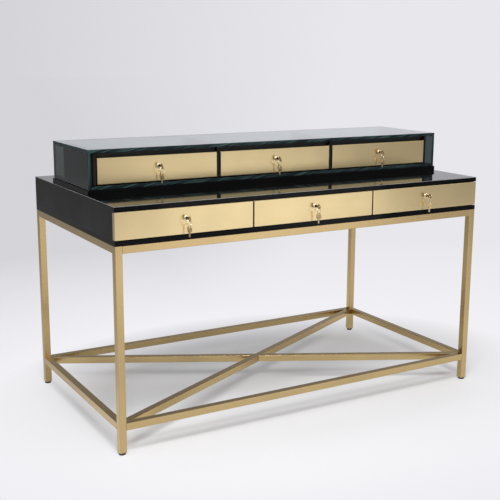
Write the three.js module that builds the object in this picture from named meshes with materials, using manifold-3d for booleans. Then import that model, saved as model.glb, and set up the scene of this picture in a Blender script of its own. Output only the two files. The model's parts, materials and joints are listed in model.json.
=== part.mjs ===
// Display table with drawers. A brass tube frame carries a black cabinet with three drawers,
// and a glass case with three more drawers stands on the cabinet's top.
// Millimetres. +X runs along the front to the right, the front faces -Y, +Z is up, and the
// origin lies on the floor under the middle of the whole object, keys included.

import * as THREE from 'three';
import { mergeVertices } from 'three/addons/utils/BufferGeometryUtils.js';
import Module from 'manifold-3d';

const wasm = await Module();
wasm.setup();

// Whole table
const TABLE_WIDTH = 1500;
const TABLE_DEPTH = 800;
const FIT = 0.3;

// Brass frame
const FRAME_HEIGHT = 700;
const TUBE = 25;
const TUBE_WALL = 1.5;
const TUBE_CORNER = 1.2;
const STRETCHER_UNDERSIDE = 84;

// Glides under the legs
const GLIDE_HEIGHT = 8;
const GLIDE_RADIUS = 12;
const GLIDE_EDGE = 1.5;
const GLIDE_PEG_LENGTH = 16;

// Black cabinet
const TOP_THICKNESS = 16;
const BASE_THICKNESS = 16;
const SIDE_THICKNESS = 18;
const BACK_THICKNESS = 12;
const PARTITION_THICKNESS = 18;

// Glass case
const CASE_INSET = 9;
const CASE_SETBACK = 245;
const CASE_DEPTH = 355;
const PLINTH_HEIGHT = 18;
const PLINTH_PROUD = 4;
const GLASS = 12;
const UPRIGHT_THICKNESS = 10;
const UPRIGHT_SPACING = 243;
const UPRIGHT_SETBACK = 4;
const CASE_END_ROOM = 14.5;
const CASE_BACK_ROOM = 48;
const CASE_HEADROOM = 19;
const UPPER_FRONT_SETBACK = 18;

// Drawer fronts, folded from brass sheet over a wooden core
const FRONT_HEIGHT = 90;
const FRONT_DEPTH = 16;
const FRONT_SHEET = 1.5;
const FRONT_CLEARANCE = 2;
const LOWER_FRONT_GAP = 4;
const UPPER_FRONT_GAP = 2.5;

// Drawer boxes
const LOWER_BOX_DEPTH = 520;
const LOWER_SIDE_CLEARANCE = 1.5;
const UPPER_SIDE_CLEARANCE = 4;
const BOX_HEAD_CLEARANCE = 2;
const BOX_WALL = 10;
const BOX_FRONT_WALL = 8;
const BOX_FLOOR = 6;

// Keeper rails that the lock cams swing up behind
const KEEPER_DEPTH = 8;
const KEEPER_LAP = 10;
const KEEPER_GAP = 2;

// Locks and keys
const LOCK_RISE = 8;
const COLLAR_RADIUS = 9;
const COLLAR_HEIGHT = 4;
const COLLAR_EDGE = 1;
const BARREL_RADIUS = 7;
const BARREL_STANDOUT = 1;
const PLUG_RADIUS = 4.5;
const PLUG_STANDOUT = 0.6;
const CAM_WIDTH = 12;
const CAM_THICKNESS = 3;
const CAM_BITE = 8;
const CAM_GAP = 2;
const KEY_THICKNESS = 2.4;
const KEY_NECK_LENGTH = 8;
const KEY_NECK_WIDTH = 7;
const BOW_RADIUS = 9;
const BOW_HOLE_RADIUS = 2;
const ROUND_SIDES = 24;

// Levels and planes that several pieces share
const halfWidth = TABLE_WIDTH / 2;
const halfDepth = TABLE_DEPTH / 2;
const baseTop = FRAME_HEIGHT + BASE_THICKNESS;
const topUnderside = baseTop + FRONT_HEIGHT + 2 * FRONT_CLEARANCE;
const tableTop = topUnderside + TOP_THICKNESS;
const sideInner = halfWidth - SIDE_THICKNESS;
const backInner = halfDepth - BACK_THICKNESS;
const plinthTop = tableTop + PLINTH_HEIGHT;
const caseFloor = plinthTop + GLASS;
const glassUnderside = caseFloor + FRONT_CLEARANCE + FRONT_HEIGHT + CASE_HEADROOM;
const caseTop = glassUnderside + GLASS;
const caseHalfWidth = halfWidth - CASE_INSET;
const caseFront = -halfDepth + CASE_SETBACK;
const caseBack = caseFront + CASE_DEPTH;
const glassInner = caseHalfWidth - GLASS;
const glassBackInner = caseBack - GLASS;
const uprightBack = glassBackInner - CASE_BACK_ROOM;
const endUprightOuter = glassInner - CASE_END_ROOM;
const keyReach = COLLAR_HEIGHT + PLUG_STANDOUT + KEY_NECK_LENGTH + 2 * BOW_RADIUS;

const brassTube = new THREE.MeshStandardMaterial({ color: 0xb9975c, roughness: 0.38, metalness: 1 });
const brassSheet = new THREE.MeshStandardMaterial({ color: 0xd0b47c, roughness: 0.42, metalness: 1 });
const brassLock = new THREE.MeshStandardMaterial({ color: 0xd9b873, roughness: 0.25, metalness: 1 });
const brassKey = new THREE.MeshStandardMaterial({ color: 0xc9a868, roughness: 0.3, metalness: 1 });
const blackGloss = new THREE.MeshStandardMaterial({ color: 0x121214, roughness: 0.12, metalness: 0 });
const blackSatin = new THREE.MeshStandardMaterial({ color: 0x2b2b2c, roughness: 0.5, metalness: 0 });
const drawerWood = new THREE.MeshStandardMaterial({ color: 0x26241f, roughness: 0.6, metalness: 0 });
const greenGlass = new THREE.MeshStandardMaterial({
  color: 0xa9c4bd,
  roughness: 0.03,
  metalness: 0,
  transparent: true,
  opacity: 0.35,
});
const blackRubber = new THREE.MeshStandardMaterial({ color: 0x151515, roughness: 0.7, metalness: 0 });

const table = new THREE.Group();

function addPiece(name, geometry, material) {
  const mesh = new THREE.Mesh(geometry, material);
  mesh.name = name;
  table.add(mesh);
}

// A box between two corners, with each face exactly on the plane it is given.
function block(low, high) {
  const geometry = new THREE.BoxGeometry(2, 2, 2);
  const corner = geometry.attributes.position;
  for (let i = 0; i < corner.count; i += 1) {
    const x = corner.getX(i) < 0 ? low[0] : high[0];
    const y = corner.getY(i) < 0 ? low[1] : high[1];
    const z = corner.getZ(i) < 0 ? low[2] : high[2];
    corner.setXYZ(i, x, y, z);
  }
  return geometry;
}

// A flat outline drawn in the two axes after the given one, in the order X, Y, Z, X, and
// stretched along the given axis from one plane to another.
function prism(axis, shape, from, to, segments = ROUND_SIDES / 4) {
  const geometry = new THREE.ExtrudeGeometry(shape, {
    depth: 1,
    bevelEnabled: false,
    curveSegments: segments,
  });
  const point = geometry.attributes.position;
  for (let i = 0; i < point.count; i += 1) {
    const along = point.getZ(i) < 0.5 ? from : to;
    const across = [point.getX(i), point.getY(i)];
    const placed = [0, 0, 0];
    placed[axis] = along;
    placed[(axis + 1) % 3] = across[0];
    placed[(axis + 2) % 3] = across[1];
    point.setXYZ(i, ...placed);
  }
  return geometry;
}

function roundedSquare(path, centre, half, radius) {
  const [u, v] = centre;
  path.moveTo(u - half + radius, v - half);
  path.lineTo(u + half - radius, v - half);
  path.absarc(u + half - radius, v - half + radius, radius, -Math.PI / 2, 0);
  path.lineTo(u + half, v + half - radius);
  path.absarc(u + half - radius, v + half - radius, radius, 0, Math.PI / 2);
  path.lineTo(u - half + radius, v + half);
  path.absarc(u - half + radius, v + half - radius, radius, Math.PI / 2, Math.PI);
  path.lineTo(u - half, v - half + radius);
  path.absarc(u - half + radius, v - half + radius, radius, Math.PI, 1.5 * Math.PI);
  return path;
}

function outlineOf(points) {
  return new THREE.Shape(points.map(([u, v]) => new THREE.Vector2(u, v)));
}

// A length of square tube along an axis, open at both ends.
function squareTube(axis, centre, from, to) {
  const shape = roundedSquare(new THREE.Shape(), centre, TUBE / 2, TUBE_CORNER);
  const inner = TUBE / 2 - TUBE_WALL;
  const [u, v] = centre;
  const bore = outlineOf([
    [u - inner, v - inner],
    [u - inner, v + inner],
    [u + inner, v + inner],
    [u + inner, v - inner],
  ]);
  shape.holes.push(bore);
  const cornerSegments = 2;
  return prism(axis, shape, from, to, cornerSegments);
}

function rodAlongY(radius, from, to, x, z) {
  const geometry = new THREE.CylinderGeometry(radius, radius, to - from, ROUND_SIDES);
  geometry.translate(x, (from + to) / 2, z);
  return geometry;
}

function toSolid(geometry) {
  const bare = geometry.clone();
  bare.deleteAttribute('normal');
  bare.deleteAttribute('uv');
  const merged = mergeVertices(bare);
  const mesh = new wasm.Mesh({
    numProp: 3,
    vertProperties: new Float32Array(merged.attributes.position.array),
    triVerts: new Uint32Array(merged.index.array),
  });
  return new wasm.Manifold(mesh);
}

function toGeometry(solid) {
  const mesh = solid.getMesh();
  const geometry = new THREE.BufferGeometry();
  geometry.setAttribute('position', new THREE.BufferAttribute(new Float32Array(mesh.vertProperties), 3));
  geometry.setIndex(new THREE.BufferAttribute(new Uint32Array(mesh.triVerts), 1));
  geometry.computeVertexNormals();
  return geometry;
}

function joined(geometries) {
  const solids = geometries.map(toSolid);
  return solids.reduce((whole, next) => whole.add(next));
}

// Brass frame
const legX = halfWidth - TUBE / 2;
const legY = halfDepth - TUBE / 2;
const railEndX = halfWidth - TUBE;
const railEndY = halfDepth - TUBE;
const topRailZ = FRAME_HEIGHT - TUBE / 2;
const stretcherZ = STRETCHER_UNDERSIDE + TUBE / 2;

const corners = [
  ['front_left', -legX, -legY],
  ['front_right', legX, -legY],
  ['back_left', -legX, legY],
  ['back_right', legX, legY],
];

function glide(x, y) {
  const peg = TUBE / 2 - TUBE_WALL - FIT;
  const pegTop = GLIDE_HEIGHT + GLIDE_PEG_LENGTH;
  const profile = [
    [0, 0],
    [GLIDE_RADIUS - GLIDE_EDGE, 0],
    [GLIDE_RADIUS, GLIDE_EDGE],
    [GLIDE_RADIUS, GLIDE_HEIGHT],
    [peg, GLIDE_HEIGHT],
    [peg, pegTop],
    [0, pegTop],
  ];
  const points = profile.map(([radius, height]) => new THREE.Vector2(radius, height));
  const geometry = new THREE.LatheGeometry(points, ROUND_SIDES);
  geometry.rotateX(Math.PI / 2);
  geometry.translate(x, y, 0);
  return geometry;
}

for (const [place, x, y] of corners) {
  addPiece(`leg_${place}`, squareTube(2, [x, y], GLIDE_HEIGHT, FRAME_HEIGHT), brassTube);
  addPiece(`glide_${place}`, glide(x, y), blackRubber);
}

for (const [level, z] of [['top_rail', topRailZ], ['stretcher', stretcherZ]]) {
  addPiece(`${level}_front`, squareTube(0, [-legY, z], -railEndX, railEndX), brassTube);
  addPiece(`${level}_back`, squareTube(0, [legY, z], -railEndX, railEndX), brassTube);
  addPiece(`${level}_left`, squareTube(1, [z, -legX], -railEndY, railEndY), brassTube);
  addPiece(`${level}_right`, squareTube(1, [z, legX], -railEndY, railEndY), brassTube);
}

// Diagonal braces between the corners of the stretchers, lapped half into each other.
const braceAngle = Math.atan2(railEndY, railEndX);
const braceHalfLength = Math.hypot(railEndX, railEndY) + TUBE;

function turnedAboutZ(geometry, angle) {
  geometry.rotateZ(angle);
  return geometry;
}

function crossBrace(angle, keepsUpperHalf) {
  const tube = squareTube(0, [0, stretcherZ], -braceHalfLength, braceHalfLength);
  const corral = block(
    [-railEndX + FIT, -railEndY + FIT, stretcherZ - TUBE],
    [railEndX - FIT, railEndY - FIT, stretcherZ + TUBE],
  );
  const notchHalf = TUBE / 2 + FIT;
  const notchLow = keepsUpperHalf ? stretcherZ - TUBE : stretcherZ - FIT / 2;
  const notchHigh = keepsUpperHalf ? stretcherZ + FIT / 2 : stretcherZ + TUBE;
  const notch = block(
    [-braceHalfLength, -notchHalf, notchLow],
    [braceHalfLength, notchHalf, notchHigh],
  );
  const body = toSolid(turnedAboutZ(tube, angle)).intersect(toSolid(corral));
  return toGeometry(body.subtract(toSolid(turnedAboutZ(notch, -angle))));
}

addPiece('cross_brace_front_left', crossBrace(braceAngle, true), brassTube);
addPiece('cross_brace_back_left', crossBrace(-braceAngle, false), brassTube);

// The two rows of drawers. Both have a keeper rail whose underside lies below the fronts' top
// edge, so that a cam turned upwards stands behind it.
function drawerRow(name, frontY, runLevel, boxBack, fronts) {
  const frontBottom = runLevel + FRONT_CLEARANCE;
  const frontTop = frontBottom + FRONT_HEIGHT;
  const keeperUnderside = frontTop - KEEPER_LAP;
  const keeperFront = frontY + FRONT_DEPTH + KEEPER_GAP;
  return {
    name,
    fronts,
    frontY,
    frontBottom,
    frontTop,
    keeperUnderside,
    keeperFront,
    keeperBack: keeperFront + KEEPER_DEPTH,
    boxBottom: runLevel + FIT,
    boxTop: keeperUnderside - BOX_HEAD_CLEARANCE,
    boxFront: frontY + FRONT_DEPTH,
    boxBack,
    lockZ: (frontBottom + frontTop) / 2 + LOCK_RISE,
  };
}

const partitionX = halfWidth / 3;
const partitionHalf = PARTITION_THICKNESS / 2;
const uprightHalf = UPRIGHT_THICKNESS / 2;
const lowerFrontHalfGap = LOWER_FRONT_GAP / 2;
const lowerBoxOuter = sideInner - LOWER_SIDE_CLEARANCE;
const lowerBoxInner = partitionX + partitionHalf + LOWER_SIDE_CLEARANCE;
const lowerMiddleBox = partitionX - partitionHalf - LOWER_SIDE_CLEARANCE;
const endUprightInner = endUprightOuter - UPRIGHT_THICKNESS;
const upperFrontOuter = endUprightInner - UPPER_FRONT_GAP;
const upperFrontInner = UPRIGHT_SPACING + uprightHalf + UPPER_FRONT_GAP;
const upperMiddleFront = UPRIGHT_SPACING - uprightHalf - UPPER_FRONT_GAP;
const upperBoxOuter = endUprightInner - UPPER_SIDE_CLEARANCE;
const upperBoxInner = UPRIGHT_SPACING + uprightHalf + UPPER_SIDE_CLEARANCE;
const upperMiddleBox = UPRIGHT_SPACING - uprightHalf - UPPER_SIDE_CLEARANCE;

const lowerRow = drawerRow('lower', -halfDepth, baseTop, -halfDepth + FRONT_DEPTH + LOWER_BOX_DEPTH, [
  {
    place: 'left',
    front: [-halfWidth, -partitionX - lowerFrontHalfGap],
    box: [-lowerBoxOuter, -lowerBoxInner],
  },
  {
    place: 'middle',
    front: [-partitionX + lowerFrontHalfGap, partitionX - lowerFrontHalfGap],
    box: [-lowerMiddleBox, lowerMiddleBox],
  },
  {
    place: 'right',
    front: [partitionX + lowerFrontHalfGap, halfWidth],
    box: [lowerBoxInner, lowerBoxOuter],
  },
]);

const upperRow = drawerRow('upper', caseFront + UPPER_FRONT_SETBACK, caseFloor, uprightBack, [
  {
    place: 'left',
    front: [-upperFrontOuter, -upperFrontInner],
    box: [-upperBoxOuter, -upperBoxInner],
  },
  {
    place: 'middle',
    front: [-upperMiddleFront, upperMiddleFront],
    box: [-upperMiddleBox, upperMiddleBox],
  },
  {
    place: 'right',
    front: [upperFrontInner, upperFrontOuter],
    box: [upperBoxInner, upperBoxOuter],
  },
]);

// Black cabinet
function cabinetTop() {
  const board = block([-halfWidth, -halfDepth, topUnderside], [halfWidth, halfDepth, tableTop]);
  const rib = block(
    [-sideInner + FIT, lowerRow.keeperFront, lowerRow.keeperUnderside],
    [sideInner - FIT, lowerRow.keeperBack, topUnderside + TOP_THICKNESS / 2],
  );
  return toGeometry(joined([board, rib]));
}

function cabinetSide(outer, inner) {
  const low = Math.min(outer, inner);
  const high = Math.max(outer, inner);
  return block([low, lowerRow.keeperFront, baseTop], [high, halfDepth, topUnderside]);
}

function cabinetPartition(centre) {
  return block(
    [centre - partitionHalf, lowerRow.keeperBack + FIT, baseTop],
    [centre + partitionHalf, backInner, topUnderside],
  );
}

const cabinetBase = block([-halfWidth, -halfDepth, FRAME_HEIGHT], [halfWidth, halfDepth, baseTop]);
const cabinetBack = block([-sideInner, backInner, baseTop], [sideInner, halfDepth, topUnderside]);

addPiece('cabinet_base', cabinetBase, blackSatin);
addPiece('cabinet_top', cabinetTop(), blackGloss);
addPiece('cabinet_side_left', cabinetSide(-halfWidth, -sideInner), blackSatin);
addPiece('cabinet_side_right', cabinetSide(halfWidth, sideInner), blackSatin);
addPiece('cabinet_back', cabinetBack, blackSatin);
addPiece('cabinet_partition_left', cabinetPartition(-partitionX), blackSatin);
addPiece('cabinet_partition_right', cabinetPartition(partitionX), blackSatin);

// Glass case
const plinthHalf = caseHalfWidth + PLINTH_PROUD;
const plinth = block(
  [-plinthHalf, caseFront - PLINTH_PROUD, tableTop],
  [plinthHalf, caseBack + PLINTH_PROUD, plinthTop],
);
const glassPanes = {
  floor: block([-glassInner, caseFront, plinthTop], [glassInner, glassBackInner, caseFloor]),
  left: block([-caseHalfWidth, caseFront, plinthTop], [-glassInner, caseBack, glassUnderside]),
  right: block([glassInner, caseFront, plinthTop], [caseHalfWidth, caseBack, glassUnderside]),
  back: block([-glassInner, glassBackInner, plinthTop], [glassInner, caseBack, glassUnderside]),
  top: block([-caseHalfWidth, caseFront, glassUnderside], [caseHalfWidth, caseBack, caseTop]),
};

addPiece('case_plinth', plinth, blackGloss);
for (const [place, pane] of Object.entries(glassPanes)) {
  addPiece(`case_glass_${place}`, pane, greenGlass);
}

// Upright boards beside the upper drawers, notched from above for the keeper rail.
function upright(low) {
  const front = upperRow.frontY + UPRIGHT_SETBACK;
  const notchFront = upperRow.keeperFront - FIT;
  const notchBack = upperRow.keeperBack + FIT;
  const notchFloor = upperRow.keeperUnderside - FIT;
  const outline = outlineOf([
    [front, caseFloor],
    [uprightBack, caseFloor],
    [uprightBack, glassUnderside],
    [notchBack, glassUnderside],
    [notchBack, notchFloor],
    [notchFront, notchFloor],
    [notchFront, glassUnderside],
    [front, glassUnderside],
  ]);
  return prism(0, outline, low, low + UPRIGHT_THICKNESS);
}

const uprightStarts = [
  -endUprightOuter,
  -UPRIGHT_SPACING - uprightHalf,
  UPRIGHT_SPACING - uprightHalf,
  endUprightInner,
];
uprightStarts.forEach((low, i) => addPiece(`case_upright_${i + 1}`, upright(low), blackSatin));

const caseKeeper = block(
  [-endUprightOuter, upperRow.keeperFront, upperRow.keeperUnderside],
  [endUprightOuter, upperRow.keeperBack, glassUnderside],
);
addPiece('case_lock_rail', caseKeeper, blackSatin);

// Drawers
function lockHole(row, x) {
  const from = row.frontY - FRONT_DEPTH;
  const to = row.boxFront + 2 * BOX_FRONT_WALL;
  return toSolid(rodAlongY(BARREL_RADIUS + FIT, from, to, x, row.lockZ));
}

function drawerFront(row, [left, right], lockX) {
  const outer = block([left, row.frontY, row.frontBottom], [right, row.boxFront, row.frontTop]);
  const hollow = block(
    [left + FRONT_SHEET, row.frontY + FRONT_SHEET, row.frontBottom + FRONT_SHEET],
    [right - FRONT_SHEET, row.boxFront + FRONT_DEPTH, row.frontTop - FRONT_SHEET],
  );
  return toGeometry(toSolid(outer).subtract(toSolid(hollow)).subtract(lockHole(row, lockX)));
}

function drawerBox(row, front, [left, right], lockX) {
  const skin = FRONT_SHEET + FIT;
  const joint = row.boxFront + BOX_FRONT_WALL / 2;
  const tray = block([left, row.boxFront, row.boxBottom], [right, row.boxBack, row.boxTop]);
  const coreTop = Math.min(row.frontTop - skin, row.boxTop);
  const core = block(
    [front[0] + skin, row.frontY + skin, row.frontBottom + skin],
    [front[1] - skin, row.boxFront, row.frontTop - skin],
  );
  const bridge = block(
    [left + BOX_WALL, row.frontY + FRONT_DEPTH / 2, row.frontBottom + skin],
    [right - BOX_WALL, joint, coreTop],
  );
  const inside = block(
    [left + BOX_WALL, row.boxFront + BOX_FRONT_WALL, row.boxBottom + BOX_FLOOR],
    [right - BOX_WALL, row.boxBack - BOX_WALL, row.boxTop + BOX_WALL],
  );
  const whole = joined([tray, core, bridge]);
  return toGeometry(whole.subtract(toSolid(inside)).subtract(lockHole(row, lockX)));
}

// The lock's fixed barrel with its collar, bored for the plug.
function lockBarrel(row, x) {
  const bore = PLUG_RADIUS + FIT;
  const end = FRONT_DEPTH + BOX_FRONT_WALL + BARREL_STANDOUT;
  const profile = [
    [bore, -COLLAR_HEIGHT],
    [COLLAR_RADIUS - COLLAR_EDGE, -COLLAR_HEIGHT],
    [COLLAR_RADIUS, -COLLAR_HEIGHT + COLLAR_EDGE],
    [COLLAR_RADIUS, 0],
    [BARREL_RADIUS, 0],
    [BARREL_RADIUS, end],
    [bore, end],
    [bore, -COLLAR_HEIGHT],
  ];
  const points = profile.map(([radius, along]) => new THREE.Vector2(radius, along));
  const geometry = new THREE.LatheGeometry(points, ROUND_SIDES);
  geometry.translate(x, row.frontY, row.lockZ);
  return geometry;
}

// The plug with its cam behind the drawer's front wall and the key that sits in it. At rest the
// cam lies flat to the left, and a quarter turn to the right swings it up behind the keeper.
function keyWithCam(row, x) {
  const z = row.lockZ;
  const plugFace = row.frontY - COLLAR_HEIGHT - PLUG_STANDOUT;
  const camFront = row.keeperBack + CAM_GAP;
  const camBack = camFront + CAM_THICKNESS;
  const camReach = row.keeperUnderside + CAM_BITE - z;
  const camHalf = CAM_WIDTH / 2;
  const cam = new THREE.Shape();
  cam.moveTo(z - camHalf, x);
  cam.lineTo(z - camHalf, x - camReach);
  cam.lineTo(z + camHalf, x - camReach);
  cam.lineTo(z + camHalf, x);
  cam.absarc(z, x, camHalf, 0, Math.PI);
  const bowY = plugFace - KEY_NECK_LENGTH - BOW_RADIUS;
  const bow = new THREE.Shape();
  bow.absarc(bowY, z, BOW_RADIUS, 0, 2 * Math.PI);
  const ringHole = new THREE.Path();
  ringHole.absarc(bowY, z, BOW_HOLE_RADIUS, 0, 2 * Math.PI, true);
  bow.holes.push(ringHole);
  const halfKey = KEY_THICKNESS / 2;
  const neck = block(
    [x - halfKey, bowY + BOW_RADIUS / 2, z - KEY_NECK_WIDTH / 2],
    [x + halfKey, plugFace + KEY_NECK_LENGTH, z + KEY_NECK_WIDTH / 2],
  );
  const parts = [
    rodAlongY(PLUG_RADIUS, plugFace, camBack, x, z),
    prism(1, cam, camFront, camBack),
    neck,
    prism(0, bow, x - halfKey, x + halfKey),
  ];
  return toGeometry(joined(parts));
}

for (const row of [lowerRow, upperRow]) {
  for (const { place, front, box } of row.fronts) {
    const lockX = (front[0] + front[1]) / 2;
    const label = `${row.name}_${place}`;
    addPiece(`drawer_front_${label}`, drawerFront(row, front, lockX), brassSheet);
    addPiece(`drawer_box_${label}`, drawerBox(row, front, box, lockX), drawerWood);
    addPiece(`lock_${label}`, lockBarrel(row, lockX), brassLock);
    addPiece(`key_${label}`, keyWithCam(row, lockX), brassKey);
  }
}

table.position.y = keyReach / 2;

export default table;
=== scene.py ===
import functools
import json
import math

import bmesh
import bpy
import numpy as np
from bpy.props import FloatProperty, FloatVectorProperty, PointerProperty
from mathutils import Matrix, Vector


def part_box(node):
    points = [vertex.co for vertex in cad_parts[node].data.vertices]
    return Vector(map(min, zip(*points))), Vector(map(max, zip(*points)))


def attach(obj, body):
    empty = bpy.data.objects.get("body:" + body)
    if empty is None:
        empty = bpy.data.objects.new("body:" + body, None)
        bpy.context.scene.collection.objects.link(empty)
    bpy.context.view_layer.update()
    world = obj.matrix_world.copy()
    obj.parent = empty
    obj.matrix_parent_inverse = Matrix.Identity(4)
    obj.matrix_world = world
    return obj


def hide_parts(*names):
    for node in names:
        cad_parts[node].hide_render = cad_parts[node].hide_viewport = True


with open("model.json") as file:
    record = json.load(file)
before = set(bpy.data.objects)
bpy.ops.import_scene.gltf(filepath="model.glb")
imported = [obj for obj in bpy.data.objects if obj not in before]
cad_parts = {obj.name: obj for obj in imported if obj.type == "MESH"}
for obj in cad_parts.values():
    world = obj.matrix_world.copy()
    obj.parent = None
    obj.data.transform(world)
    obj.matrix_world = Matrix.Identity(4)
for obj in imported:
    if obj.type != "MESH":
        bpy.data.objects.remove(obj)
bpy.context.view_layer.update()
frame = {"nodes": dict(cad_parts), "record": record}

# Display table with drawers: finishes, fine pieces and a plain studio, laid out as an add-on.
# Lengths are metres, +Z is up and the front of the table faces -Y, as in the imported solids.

bl_info = {
    "name": "Display Table with Drawers",
    "version": (1, 0, 0),
    "blender": (4, 5, 0),
    "location": "View3D > Sidebar > Table",
    "description": "Finishes, glass, locks and keys of a brass display table, and its studio",
    "category": "Object",
}

DRAWERS = [f"{row}_{place}" for row in ("lower", "upper") for place in ("left", "middle", "right")]
TUBES_ALONG = {
    "x": ("top_rail_front", "top_rail_back", "stretcher_front", "stretcher_back"),
    "y": ("top_rail_left", "top_rail_right", "stretcher_left", "stretcher_right"),
    "z": ("leg_front_left", "leg_front_right", "leg_back_left", "leg_back_right"),
}
# The sign of each brace's turn about Z
BRACES = {"cross_brace_front_left": 1.0, "cross_brace_back_left": -1.0}
GLIDES = [f"glide_{end}_{side}" for end in ("front", "back") for side in ("left", "right")]
SATIN_BOARDS = (
    *(f"cabinet_{board}" for board in ("side_left", "side_right", "back")),
    *(f"cabinet_partition_{side}" for side in ("left", "right")),
    *(f"case_upright_{number}" for number in range(1, 5)),
    "case_lock_rail",
)
# Places of the axes in a point
X, Y, Z = range(3)
# The axis across each pane, and its glass
PANES = {
    "floor": (Z, "clear"),
    "left": (X, "smoked"),
    # The right pane is the smoked glass made darker still, as painted shade for that end of the case
    "right": (X, "dark"),
    "back": (Y, "smoked"),
    "top": (Z, "clear"),
}
# The roughness of each polished metal, under its colour's name
METALS = {
    "lock_brass": 0.28,
    # The plug's near-black colour is painted shade for the dark keyhole
    "plug_bronze": 0.35,
    "key_brass": 0.28,
    "spare_brass": 0.30,
    "key_nickel": 0.24,
}
# The dished face round a plug: steps out from the bore, and how deep they lie in the collar
DISH = ((0.0, 0.0006), (0.0004, 0.0002), (0.0011, 0.0))

# Lengths of the marks in the finishes along X, Y and Z
TUBE_FINE, TUBE_LONG = 0.0006, 0.40
SHEET_LINES = (0.34, 0.0008, 0.0008)
PATINA_CLOUDS = (0.12, 0.12, 0.12)
METAL_SCRATCHES = (0.0006, 0.0030, 0.0006)
METAL_PATCHES = (0.006, 0.006, 0.006)
LACQUER_RIPPLE = (0.035, 0.035, 0.035)
LACQUER_SMEARS = (0.30, 0.08, 0.08)
LACQUER_PORES = (0.020, 0.020, 0.0012)
HANDLING_MARKS = (0.22, 0.22, 0.14)
WOOD_FIGURE = (0.012, 0.30, 0.006)
FELT_NAP = (0.0009, 0.0009, 0.0009)
GLASS_MARKS = (0.2, 0.2, 0.2)
EDGE_STREAKS = (0.0022, 0.0022, 0.14)
EDGE_HAZE = (0.09, 0.09, 0.09)
RUBBER_TEXTURE = (0.0012, 0.0012, 0.0012)
FLOOR_SPECKLE = (0.5, 0.5, 0.5)

# Most of a noise lies between these values
NOISE_LOW, NOISE_HIGH = 0.3, 0.7
# A normal's share along an axis, from which a face counts as square to it
SQUARE = 0.99
# A normal's share along Z, from which a face counts as a floor
UPWARD = 0.5
# Places of the colour sockets in a Mix node
MIX_FACTOR, MIX_FIRST, MIX_SECOND, MIX_RESULT = 0, 6, 7, 2
LACQUER_IOR, GLASS_IOR = 1.5, 1.52
# Points closer than this are one point, and edges shorter than the second length are dropped
SAME_POINT, SLIVER = 1e-6, 1e-7

# Where each lamp stands, its width and height, and the property with its power
LAMPS = {
    "high_key_lamp": ((-0.9, -1.7, 3.4), (0.9, 0.8), "key_power"),
    "low_key_lamp": ((-1.5, -2.9, 2.9), (0.9, 0.8), "key_power"),
    "fill_lamp": ((1.65, -3.4, 0.24), (1.6, 0.4), "fill_power"),
}
LAMP_AIM = (0.0, 0.0, 0.6)
SENSOR_WIDTH = 36.0
# How much a length along X, Y and Z counts where the table's shadow fades out
SHADOW_SHAPE = (1.0, 1.3, 1.0)
# Shares of a direction along X, Y or Z, between which the room changes its shade
BACKDROP_RIGHT = (0.27, 0.58)
BEHIND_TABLE = (-0.2, 0.3)
UNDER_CEILING = (0.32, 0.17)
SOFTBOX_RISE = (0.03, 0.14)
# The dim sides of the mirrored room: shares along X and Y, distances, and the least dimness
DIM_SIDES = {
    "room_left": ((0.2, -0.35), (0.0, 0.3), (2.0, 7.0), 0.36),
    "room_right": ((0.45, 0.75), (0.0, -0.3), (3.0, 8.5), 0.0),
}


def property_of(kind, **limits):
    """A maker of properties of one kind, each from its name, its description and its default."""

    def make(name, description, default):
        return kind(name=name, description=description, default=default, **limits)

    return make


length = property_of(FloatProperty, min=0.0, precision=5, unit="LENGTH")
share = property_of(FloatProperty, min=0.0, max=1.0, subtype="FACTOR")
number = property_of(FloatProperty, min=0.0, subtype="UNSIGNED")
power = property_of(FloatProperty, min=0.0, unit="POWER")
lens = property_of(FloatProperty, min=0.0, unit="CAMERA")
turning = property_of(FloatProperty, subtype="ANGLE")
shift = property_of(FloatVectorProperty, size=2, subtype="XYZ")
spot = property_of(FloatVectorProperty, subtype="TRANSLATION", unit="LENGTH")
colour = property_of(FloatVectorProperty, size=3, min=0.0, max=1.0, subtype="COLOR")


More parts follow.
